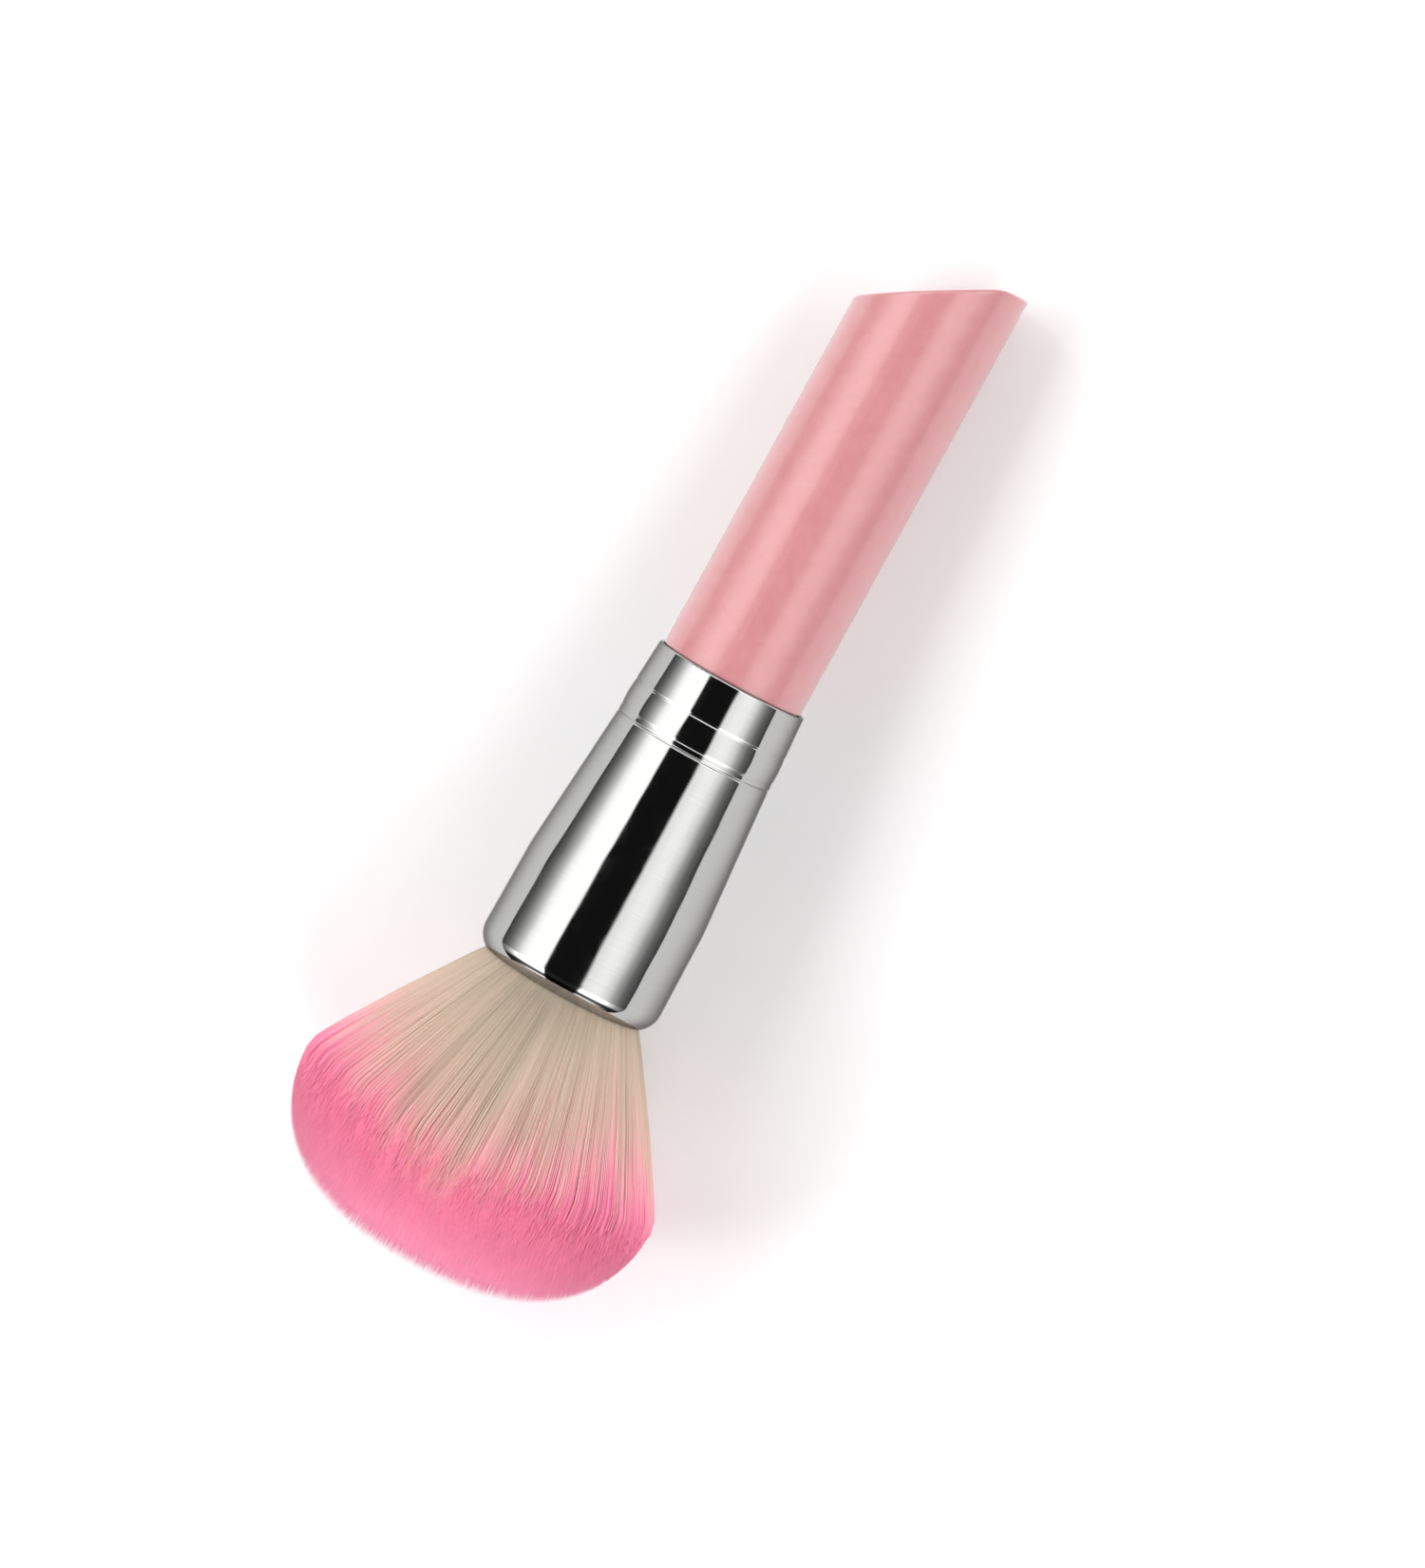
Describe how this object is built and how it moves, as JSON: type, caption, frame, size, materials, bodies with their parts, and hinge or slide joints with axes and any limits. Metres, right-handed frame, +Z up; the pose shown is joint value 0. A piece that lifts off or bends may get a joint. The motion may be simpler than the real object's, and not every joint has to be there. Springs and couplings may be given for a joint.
{
  "type": "soft nail brush",
  "caption": "Soft dust brush for nails: straight pink handle with a slanted end, tapered mirror-bright ferrule and a flared, domed head of cream filaments with pink tips.",
  "frame": {"origin": "on the table, under the middle of the brush's bounding box as it lies at rest on its handle's end and on the widest ring of its head", "axes": "+X along the brush, from the handle towards the bristles, +Z up; the brush's own axis lies in the XZ plane and rises 7.0 degrees towards +X; the long side of the handle's slanted end faces +Y"},
  "size_m": [0.12, 0.0412, 0.0411],
  "materials": {
    "handle_pink": "satin",
    "ferrule_metal": "polished",
    "filaments": "matte",
    "binding_thread": "matte",
    "cast_resin": "gloss",
    "glue": "satin"
  },
  "bodies": {
    "root": {"handle": "handle_pink", "handle_adhesive": "glue", "ferrule": "ferrule_metal", "root_plug": "cast_resin", "root_binding": "binding_thread", "bristle_bundle": "filaments"}
  },
  "joints": []
}
